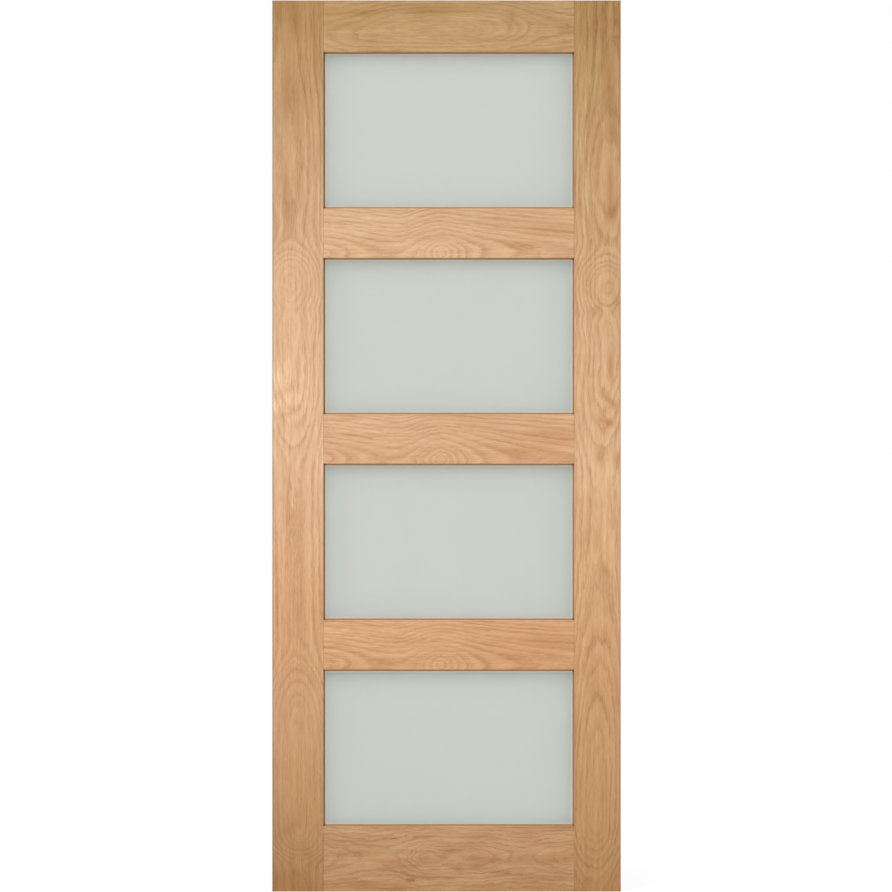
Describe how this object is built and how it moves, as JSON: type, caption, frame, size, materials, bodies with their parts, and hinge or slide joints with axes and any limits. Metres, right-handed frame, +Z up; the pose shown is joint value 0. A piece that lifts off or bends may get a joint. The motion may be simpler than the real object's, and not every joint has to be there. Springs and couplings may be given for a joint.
{
  "type": "glazed interior door leaf",
  "caption": "Flush stile-and-rail interior door leaf in pale oak veneer, with a column of equal frosted glass lights set behind square lips and held by mitred beads at the rear.",
  "frame": {"origin": "centre of the hanging edge's face, at mid height and mid thickness", "axes": "+X from the hanging edge across the leaf to the lock edge, +Y from the front face to the rear face with the beads, +Z up"},
  "size_m": [0.825, 0.035, 2.11],
  "materials": {
    "oak_veneer": "clear satin lacquer",
    "solid_oak": "clear satin lacquer",
    "frosted_glass": "acid etched",
    "glazing_strip": "matt brown"
  },
  "bodies": {
    "root": {"hinge_stile": "oak_veneer", "lock_stile": "oak_veneer", "top_rail": "oak_veneer", "mid_rail_1": "oak_veneer", "mid_rail_2": "oak_veneer", "mid_rail_3": "oak_veneer", "bottom_rail": "oak_veneer", "hinge_edge_lipping": "solid_oak", "lock_edge_lipping": "solid_oak", "bead_1_top": "solid_oak", "bead_1_bottom": "solid_oak", "bead_1_hinge_side": "solid_oak", "bead_1_lock_side": "solid_oak", "bead_2_top": "solid_oak", "bead_2_bottom": "solid_oak", "bead_2_hinge_side": "solid_oak", "bead_2_lock_side": "solid_oak", "bead_3_top": "solid_oak", "bead_3_bottom": "solid_oak", "bead_3_hinge_side": "solid_oak", "bead_3_lock_side": "solid_oak", "bead_4_top": "solid_oak", "bead_4_bottom": "solid_oak", "bead_4_hinge_side": "solid_oak", "bead_4_lock_side": "solid_oak", "glass_pane_1": "frosted_glass", "glass_pane_2": "frosted_glass", "glass_pane_3": "frosted_glass", "glass_pane_4": "frosted_glass", "glazing_strip_1": "glazing_strip", "glazing_strip_2": "glazing_strip", "glazing_strip_3": "glazing_strip", "glazing_strip_4": "glazing_strip"}
  },
  "joints": []
}
